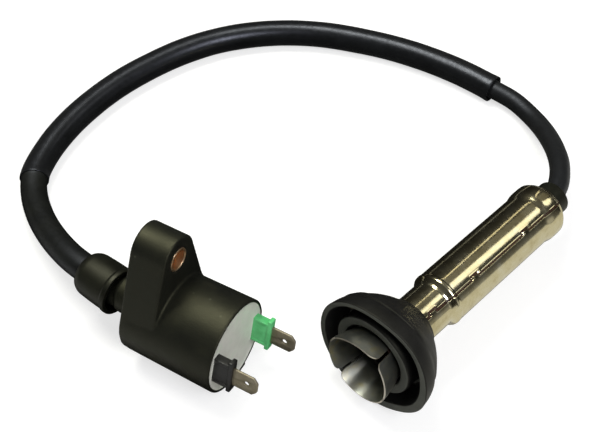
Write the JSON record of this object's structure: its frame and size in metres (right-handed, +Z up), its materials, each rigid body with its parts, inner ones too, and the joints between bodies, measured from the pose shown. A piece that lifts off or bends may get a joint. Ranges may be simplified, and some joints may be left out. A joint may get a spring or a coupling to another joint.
{
  "type": "ignition coil",
  "caption": "Cylindrical potted ignition coil with bolt-on ear and blade terminals, sleeved high-tension lead and metal-shielded spark plug cap with bell seal.",
  "frame": {"origin": "on the surface that the coil lies on, under the middle of the coil's bounding box, lead and plug cap apart", "axes": "+X along the winding axis towards the terminals, +Z up from the surface, +Y towards the loop of the lead"},
  "size_m": [0.1806, 0.1748, 0.0488],
  "materials": {
    "black_plastic": "moulded black PBT",
    "black_rubber": "moulded black rubber",
    "black_vinyl": "extruded black vinyl sleeve",
    "epoxy": "cast off-white potting",
    "green_plastic": "moulded green nylon",
    "tin_plate": "tin-plated brass strip",
    "bronze": "rolled bronze bush",
    "brass": "turned brass",
    "plated_steel": "bright yellow-passivated plated steel sheet",
    "spring_steel": "drawn spring wire",
    "electrical_steel": "stacked electrical steel sheets",
    "copper_wire": "enamelled copper winding",
    "nylon": "moulded natural nylon",
    "phenolic": "moulded brown phenolic",
    "ceramic": "fired ceramic rod"
  },
  "bodies": {
    "root": {"coil_case": "black_plastic", "mounting_bush": "bronze", "potting": "epoxy", "laminated_core": "electrical_steel", "primary_bobbin": "nylon", "primary_winding": "copper_wire", "secondary_bobbin": "nylon", "secondary_winding": "copper_wire", "outlet_pin": "brass", "secondary_tail": "copper_wire", "black_terminal_base": "black_plastic", "black_side_blade": "tin_plate", "black_side_tail": "copper_wire", "green_terminal_base": "green_plastic", "green_side_blade": "tin_plate", "green_side_tail": "copper_wire", "gland_cap": "black_rubber", "ht_lead": "black_rubber", "lower_lead_tube": "black_rubber", "lead_sleeve": "black_vinyl"},
    "grommet": {"rear_grommet": "black_rubber"},
    "plug_cap": {"cap_shield": "plated_steel", "boot_seal": "black_rubber", "cap_insulator": "phenolic", "plug_socket": "brass", "socket_clip": "spring_steel", "contact_spring": "spring_steel", "resistor_front_cap": "brass", "resistor_rod": "ceramic", "resistor_rear_cap": "brass", "lead_screw": "brass"}
  },
  "joints": [
    {"name": "cap_advance", "type": "slide", "parent": "root", "child": "grommet", "axis": [-0.2486, -0.9682, 0.0279], "range_m": [0, 0.008]},
    {"name": "cap_unscrew", "type": "hinge", "parent": "grommet", "child": "plug_cap", "pos_m": [0.0593, 0.0133, 0.0203], "axis": [-0.2486, -0.9682, 0.0279], "range_deg": [0, 1440]}
  ],
  "couplings": [
    {"joint": "cap_advance", "follows": "cap_unscrew", "m_per_rad": 0.00031831}
  ]
}
